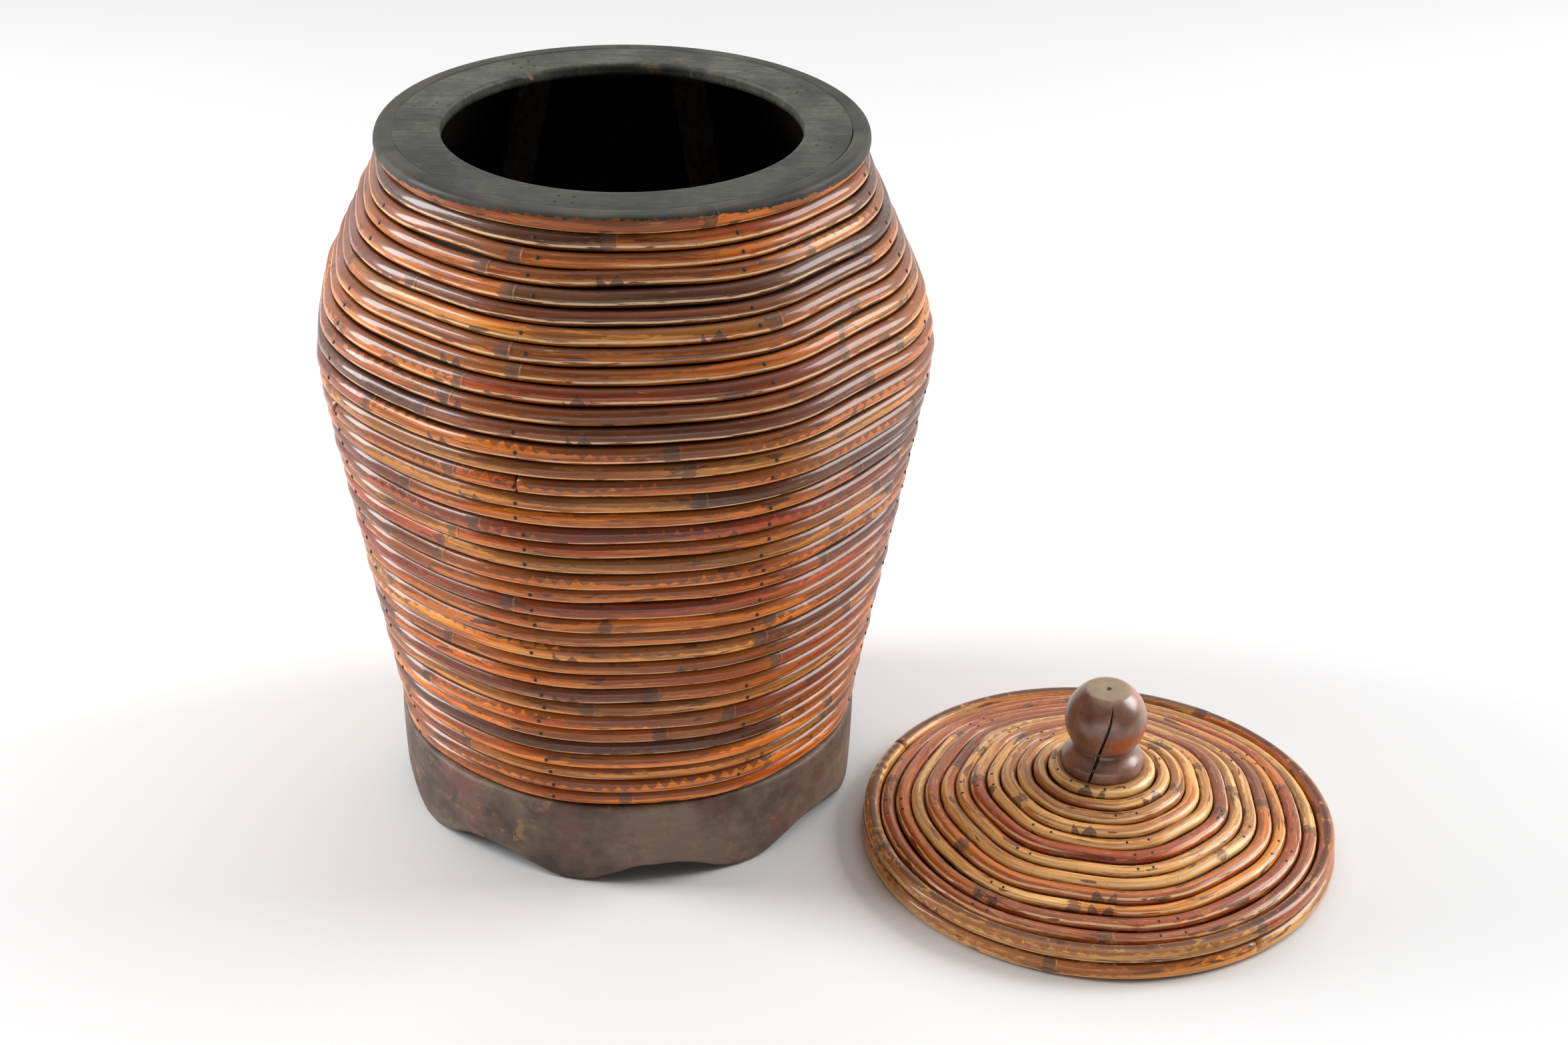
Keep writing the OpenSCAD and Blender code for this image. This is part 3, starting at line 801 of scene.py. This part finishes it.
def rim_hoop():
    """The cane round the rim board: planed flat on top, level with the board, and round outside."""
    radius, height, width = rim_ring[0]
    half = width / 2
    columns, rows = 300, 28
    angle = np.arange(columns) * TURN / columns
    psi = np.arange(rows) * TURN / rows
    # A rounded square above, nearly sharp where it meets the board, and a circle below
    inner_top = unit(np.sin(psi)) * unit(-np.cos(psi) + 0.35)
    power = 2 + 1.4 * unit(np.sin(psi)) + 12 * inner_top
    size = (np.abs(np.cos(psi)) ** power + np.abs(np.sin(psi)) ** power) ** (-1 / power)
    across, up = size * np.cos(psi) * half, size * np.sin(psi) * half
    a, p = np.meshgrid(angle, psi, indexing="ij")
    along, tone, peel, joint = Stock(29, "pbdbp").marks(angle * radius, angle * 0, angle)
    out = radius + across[None, :] + 0.25 * MM * np.sin(a * 5 + 2)
    # Its inner edge laps onto the board, but for one open joint at the right
    lap, joint_at, joint_half = 1.0 * MM, math.radians(346), math.radians(15)
    open_joint = np.exp(-((a - joint_at) / joint_half) ** 4)
    out -= lap * (1 - open_joint) * (np.sin(p) > 0) * (np.cos(p) < -0.3)
    points = polar(out, a, height + up)
    # The paint reaches less far down, in degrees round the section, at the front
    tilt = np.degrees(np.arctan2(np.sin(p), np.cos(p)))
    edge = -8 + 46 * front_share(a, math.radians(75))
    paint = unit(0.5 + (tilt - edge) / 50)
    paint = np.where(np.cos(p) < 0, 1.0, paint)

    def each(values):
        return np.repeat(values, rows, axis=0)

    faces = grid_faces(columns, rows, close_rows=True)
    add_mesh("rim_hoop", points, faces, "rim_cane", "jar", ("rim_cane",), along=each(along),
             rise=(0.62 * np.sin(p)).ravel(), tone=each(tone), peel=each(peel), joint=each(joint),
             paint=paint.ravel())


rim_hoop()


# -------------------- rim board, skirt and knob

def fillet(centre, size, start, end, steps):
    """Points on an arc, angles in degrees."""
    turn = np.radians(np.linspace(start, end, steps))
    return [(centre[0] + size * math.cos(t), centre[1] + size * math.sin(t)) for t in turn]


def rim_board():
    """The flat ring board: softened inner edge with a chip knocked out of it, and a crisp outer edge."""
    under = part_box("rim_board")[0].z
    soft, crisp = 2.6 * MM, 0.3 * MM
    outline = [(MOUTH_R, under), (MOUTH_R, under + 2 * MM)]
    outline += fillet((MOUTH_R + soft, RIM_TOP - soft), soft, 180, 90, 7)
    outline += [(r, RIM_TOP) for r in np.linspace(MOUTH_R + soft + 1 * MM, RIM_R - crisp - 1 * MM, 9)]
    outline += fillet((RIM_R - crisp, RIM_TOP - crisp), crisp, 90, 0, 4)
    outline += [(RIM_R, under), ((RIM_R + MOUTH_R) / 2, under)]
    rows = np.array(outline)
    radii, heights = rows.T
    angles = np.arange(360)[:, None] * TURN / 360
    points = polar(radii, angles, heights).reshape(len(angles), len(rows), 3)
    chip_at, chip_half, chip_depth = math.radians(125), math.radians(4.5), 2.6 * MM
    off = np.abs((angles - chip_at + math.pi) % TURN - math.pi) / chip_half
    bite = unit(1 - off ** 2) * (0.75 + 0.25 * np.sin(angles * 90))
    above = heights > under + 3 * MM
    chip = bite * unit(1 - (radii - MOUTH_R) / (6 * MM)) * above
    points[:, :, 2] -= chip * chip_depth
    # The old board is no longer quite flat
    points[:, :, 2] -= (0.15 + 0.15 * np.sin(3 * angles + 1)) * MM * (heights > RIM_TOP - crisp)
    # Paint is worn off the front of the outer edge, the chip and the mouth's edge
    worn = 0.34 * unit((radii - RIM_R + 9 * MM) / (9 * MM)) * front_share(angles, math.radians(80))
    worn = np.maximum(worn, 0.5 * chip)
    worn = np.maximum(worn, 0.3 * (1 - unit((radii - MOUTH_R) / (3 * MM))) * above)
    faces = grid_faces(len(angles), len(rows), close_rows=True)
    add_mesh("rim_board_worn", points.reshape(-1, 3), faces, "black_board", "jar", ("rim_board",),
             worn=worn.ravel())


rim_board()


# The arches cut the lower edge away, so what is left on the ground marks the feet
FOOT_TURN = math.radians(-11)
ARCH_H = 10.5 * MM


def foot_skirt():
    """The band under the canes. Its lower edge runs in soft ogees between eight feet."""
    columns = 480
    angle = np.arange(columns)[:, None] * TURN / columns
    half = math.pi / RIBS
    off = np.abs((angle - FOOT_TURN + half) % (2 * half) - half) / half
    ease = unit((off - 0.06) / 0.8)
    lift = ARCH_H * ease * ease * (3 - 2 * ease)
    lift += 0.3 * MM * np.abs(np.sin(angle * 23 + 1))
    # The outline is given by radius and by share of the height above the lower edge
    inner, taper = SKIRT_R - SKIRT_WALL, 1.4 * MM
    round_low, round_top = 1.6 * MM, 1.2 * MM
    low, high = round_low / SKIRT_TOP, 1 - round_top / SKIRT_TOP
    levels = np.linspace(0, 1, 15)
    radii = [inner + round_low, SKIRT_R - round_low - taper]
    radii += [SKIRT_R - taper * (1 - v) ** 2 for v in levels]
    radii += [SKIRT_R - round_top, inner + round_top, inner, inner, inner]
    shares = [0.0, 0.0] + [max(v, low) if v < 0.5 else min(v, high) for v in levels]
    shares += [1.0, 1.0, 1 - low, 0.5, low]
    r = np.array(radii)
    z = lift + (SKIRT_TOP - lift) * np.array(shares)
    # The outer face isn't quite round
    dent = np.where(r > inner + 3 * MM, 1.0, 0.0) * (0.35 * MM * np.sin(2 * angle + 0.7) - 0.35 * MM)
    worn = unit(1 - (z - lift) / (4 * MM)) * 0.8
    worn = np.maximum(worn, unit(1 - (SKIRT_TOP - z) / (2 * MM)) * 0.3)
    faces = grid_faces(columns, len(r), close_rows=True)
    add_mesh("foot_skirt", polar(r + dent, angle, z), faces, "dark_skirt", "jar", ("base_skirt",),
             worn=worn.ravel())


foot_skirt()


def knob_outline(centre_h, foot_h):
    """The knob's half section from its top down, and the height of the crease between ball and neck."""
    neck_r, foot_r = KNOB_R * 0.73, KNOB_R
    # A pinhole, the flat disc, which is barely crowned, and the ball
    outline = [(0.9 * MM, KNOB_TOP - 1.6 * MM), (1.3 * MM, KNOB_TOP - 0.25 * MM), (2.2 * MM, KNOB_TOP)]
    for r in np.linspace(4 * MM, KNOB_DISC_R - 0.8 * MM, 6):
        outline.append((r, KNOB_TOP + 0.1 * MM * math.cos(r / KNOB_DISC_R * 1.5)))
    disc_angle = math.degrees(math.asin((KNOB_TOP - centre_h) / KNOB_R))
    neck_angle = -math.degrees(math.acos(neck_r / KNOB_R))
    outline += fillet((0, centre_h), KNOB_R, disc_angle - 1.5, neck_angle + 2, 40)
    crease_r, crease_h = outline[-1]
    neck_h = crease_h - 0.5 * MM
    outline.append((crease_r - 0.25 * MM, neck_h))
    for share in np.linspace(0, 1, 16)[1:]:
        flare = (1 - math.cos(share * math.pi)) / 2
        outline.append((crease_r + (foot_r - crease_r) * flare, neck_h + (foot_h - crease_h) * share))
    # The foot's edge, and the tenon below it
    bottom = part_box("lid_hub")[1].z + 0.4 * MM
    outline += [(foot_r + 0.3 * MM, foot_h - 2 * MM), (foot_r - 0.2 * MM, foot_h - 4.5 * MM)]
    outline += [(foot_r - 0.4 * MM, foot_h - 8 * MM), (foot_r - 0.4 * MM, bottom)]
    outline += [(TENON_R, bottom), (TENON_R, KNOB_LOW), (1 * MM, KNOB_LOW)]
    return np.array(outline), crease_h


def turned_knob():
    """Ball, neck and flared foot, with a drying crack down the front and a bare flat top."""
    centre_h = KNOB_TOP - math.sqrt(KNOB_R ** 2 - KNOB_DISC_R ** 2)
    foot_h = centre_h - 24.5 * MM
    rows, crease_h = knob_outline(centre_h, foot_h)
    reach, height = rows.T
    # Columns crowd towards the crack, which is the zero of this scale, and lean with it
    spread = np.linspace(-1, 1, 161)[:-1, None]
    side = np.sign(spread) * np.abs(spread) ** 1.8 * math.pi
    lean = np.interp(height, [foot_h - 6 * MM, KNOB_TOP], [math.radians(-25), math.radians(6)])
    angle = FRONT + lean + side
    # The crack opens from just under the disc down to the foot
    crack_half, crack_depth = 0.85 * MM, 3.2 * MM
    open_top, open_low = KNOB_TOP - 1.5 * MM, foot_h - 8 * MM
    along = (open_top - height) / (open_top - open_low)
    width = crack_half * unit(along * 6) * unit((1.02 - along) * 8) * (height < open_top)
    width = np.where(reach > 3 * MM, width, 0)
    is_open = width > 1e-5
    from_crack = np.abs(side) * reach
    nearness = unit(1 - from_crack / np.maximum(width, 1e-6))
    gap = np.where(is_open, unit(nearness * 3), 0)
    # One lip of the crack stands a little proud
    lip = hump(from_crack - width - 0.7 * MM, 0.8 * MM) * is_open * (side < 0)
    radius = reach - gap * crack_depth + lip * 0.25 * MM
    points = polar(radius, angle, height) + np.array(LID_AXIS)
    # Hands have rubbed the ball's cheeks below its middle; the extra at the right is a painted highlight
    cheek = hump(height - (centre_h - 7 * MM), 9 * MM)
    right = unit(from_front(angle) * 2.2 + 0.45)
    rubbed = 1.25 * cheek * (0.2 + 0.8 * right) + 0.25 * lip
    flat = (height > KNOB_TOP - 2.2 * MM) & (reach < KNOB_DISC_R + 0.4 * MM)
    bare = np.maximum(flat, lip * 0.5)
    # Painted shade: the crack, the pinhole and the crease are darkened, and so is the side of the knob
    # left of the crack
    pinhole = (reach < 1.6 * MM) & (height > centre_h)
    deep = np.maximum(gap, pinhole * 0.7)
    deep = np.maximum(deep, hump(height - crease_h + 1.2 * MM, 2.6 * MM) * 0.6)
    left = unit(-side / 0.25) * unit((side + 2.4) / 0.8)
    deep = np.maximum(deep, 0.26 * left * (1 - bare))
    columns, count = len(side), len(rows)
    faces = grid_faces(columns, count, close_rows=True, close_columns=False)
    faces.append(tuple(i * count for i in range(columns)))
    faces.append(tuple(i * count + count - 1 for i in range(columns))[::-1])
    add_mesh("turned_knob", points, faces, "dark_knob", "lid", ("knob",),
             rubbed=rubbed.ravel(), bare=bare.ravel(), deep=deep.ravel())


turned_knob()


# -------------------- nails

def add_nails(name, spots, size, body):
    """Blunt nail heads, each a low eight-sided dome on a short collar."""
    points, faces = [], []
    sides = 8
    # Share of the size, and lift, of each ring, and the lift of the crown
    profile, crown = [(1.0, -0.25), (1.0, 0.12), (0.72, 0.3)], 0.36
    for place, normal in spots:
        place, normal = Vector(place), Vector(normal).normalized()
        side = normal.orthogonal().normalized()
        other = normal.cross(side)
        base = len(points)
        for share, lift in profile:
            for t in np.arange(sides) * TURN / sides:
                outwards = math.cos(t) * side + math.sin(t) * other
                points.append(place + size * (share * outwards + lift * normal))
        points.append(place + size * crown * normal)
        faces += [tuple(base + v for v in face) for face in grid_faces(len(profile), sides)]
        last = base + sides * (len(profile) - 1)
        faces += [(last + j, last + (j + 1) % sides, len(points) - 1) for j in range(sides)]
        faces.append(tuple(base + j for j in range(sides))[::-1])
    add_mesh(name, points, faces, "nail", body)


def corner_spots(winding, pair, share, rng):
    """Where the canes are nailed at each corner: one nail, or two a pair's distance apart."""
    spots = []
    for course in range(winding.count):
        for corner in range(winding.corners):
            if rng.random() > share:
                continue
            angle = winding.turn + corner * TURN / winding.corners
            turn = course + ((angle - SEAM) / TURN) % 1
            offsets = (-pair / 2, pair / 2) if pair else (0,)
            for offset in offsets:
                shift = (offset + rng.uniform(-1, 1) * 2.2 * MM) / (winding.rings[course, 0] * TURN)
                place = min(turn + shift, winding.count - 0.01)
                if place > 0.01:
                    spots.append(winding.spot(place))
    return spots


nail_rng = np.random.default_rng(41)
add_nails("jar_nails", corner_spots(jar_winding, 0, 0.72, nail_rng), 1.15 * MM, "jar")
add_nails("lid_nails", corner_spots(lid_winding, 10 * MM, 0.5, nail_rng), 0.8 * MM, "lid")
# Four nails fix the rim board to each rib, on this circle and a little off the rib's middle
NAIL_CIRCLE, OFF_RIB = 110.5 * MM, math.radians(3.5)
rim_spots = []
for n in range(RIBS):
    for across in (-1, 1):
        for outwards in (-1, 1):
            r = NAIL_CIRCLE + (4.2 * outwards + nail_rng.uniform(-1, 1)) * MM
            sideways = (4.0 * across + nail_rng.uniform(-1.6, 1.6)) * MM
            a = RIB_TURN + OFF_RIB + n * TURN / RIBS + sideways / r
            rim_spots.append(((r * math.cos(a), r * math.sin(a), RIM_TOP - 0.25 * MM), (0, 0, 1)))
add_nails("rim_nails", rim_spots, 0.95 * MM, "jar")


# -------------------- stage

# Half the floor's side
FLOOR = 20.0
floor_mesh = bpy.data.meshes.new("floor")
floor_corners = [(-FLOOR, -FLOOR, 0), (FLOOR, -FLOOR, 0), (FLOOR, FLOOR, 0), (-FLOOR, FLOOR, 0)]
floor_mesh.from_pydata(floor_corners, [], [(0, 1, 2, 3)])
floor_mesh.materials.append(floor_material())
floor = bpy.data.objects.new("floor", floor_mesh)
bpy.context.scene.collection.objects.link(floor)

# How strongly the sky shines in front of the object, and behind it
SKY_DIM, SKY_BRIGHT = 0.05, 1.0


def soft_sky():
    """A pale studio: bright behind and above the object, dim in front, so the canes' faces stay deep."""
    world = bpy.data.worlds.new("studio")
    world.use_nodes = True
    tree = world.node_tree
    direction = tree.nodes.new("ShaderNodeSeparateXYZ")
    tree.links.new(tree.nodes.new("ShaderNodeTexCoord").outputs["Generated"], direction.inputs[0])
    levels = []
    # It brightens between two values of the view direction's y, and half as much overhead
    for axis, low, high, top in (("Y", -0.2, 0.6, 1.0), ("Z", 0.55, 1.0, 0.5)):
        level = tree.nodes.new("ShaderNodeMapRange")
        level.interpolation_type = "SMOOTHSTEP"
        tree.links.new(direction.outputs[axis], level.inputs["Value"])
        ranges = {"From Min": low, "From Max": high, "To Min": SKY_DIM, "To Max": top * SKY_BRIGHT}
        for name, value in ranges.items():
            level.inputs[name].default_value = value
        levels.append(level.outputs[0])
    brightest = tree.nodes.new("ShaderNodeMath")
    brightest.operation = "MAXIMUM"
    for level, socket in zip(levels, brightest.inputs):
        tree.links.new(level, socket)
    sky = tree.nodes["Background"]
    sky.inputs["Color"].default_value = (0.99, 0.99, 0.98, 1)
    tree.links.new(brightest.outputs[0], sky.inputs["Strength"])
    bpy.context.scene.world = world
    bpy.context.scene.view_settings.view_transform = "Standard"


soft_sky()


def add_light(name, place, target, size, power):
    """A soft rectangular lamp that faces a target, with its power in watts."""
    lamp = bpy.data.lights.new(name, "AREA")
    lamp.shape = "RECTANGLE"
    lamp.size, lamp.size_y = size
    lamp.energy = power
    holder = bpy.data.objects.new(name, lamp)
    holder.location = place
    holder.rotation_euler = (Vector(target) - Vector(place)).to_track_quat("-Z", "Y").to_euler()
    bpy.context.scene.collection.objects.link(holder)


add_light("window", (-2.0, 0.15, 1.2), (0, 0, 0.25), (0.7, 1.6), 64)
add_light("fill", (2.1, 0.5, 1.3), (0.1, 0, 0.2), (1.2, 1.4), 56)
add_light("front", (0.2, -2.5, 0.2), (0.1, 0, 0.1), (3.0, 0.8), 19)
add_light("top", (0.1, 0.6, 3.0), (0.1, 0.3, 0), (3.5, 3.5), 30)


def add_camera():
    """The camera stands in front, a little left of the lid, looks down and leans slightly."""
    pitch, roll = 0.4978, 0.0199
    place, lens, sensor = (0.08987, -1.3768, 0.9087), 62.77, 36
    ahead = Vector((0, math.cos(pitch), -math.sin(pitch)))
    right, up = Vector((1, 0, 0)), Vector((0, math.sin(pitch), math.cos(pitch)))
    leaned_right = right * math.cos(roll) + up * math.sin(roll)
    leaned_up = up * math.cos(roll) - right * math.sin(roll)
    data = bpy.data.cameras.new("camera")
    data.lens, data.sensor_width = lens, sensor
    camera = bpy.data.objects.new("camera", data)
    turn = Matrix((leaned_right, leaned_up, -ahead)).transposed().to_4x4()
    camera.matrix_world = Matrix.Translation(place) @ turn
    bpy.context.scene.collection.objects.link(camera)
    bpy.context.scene.camera = camera


add_camera()

# Carried-over CAD nodes take their slot's material
slot_of = {row["node"]: row["material_slot"] for row in frame["record"]["subparts"]}
for name, node in frame["nodes"].items():
    node.data.materials.clear()
    node.data.materials.append(MATERIALS[slot_of[name]])
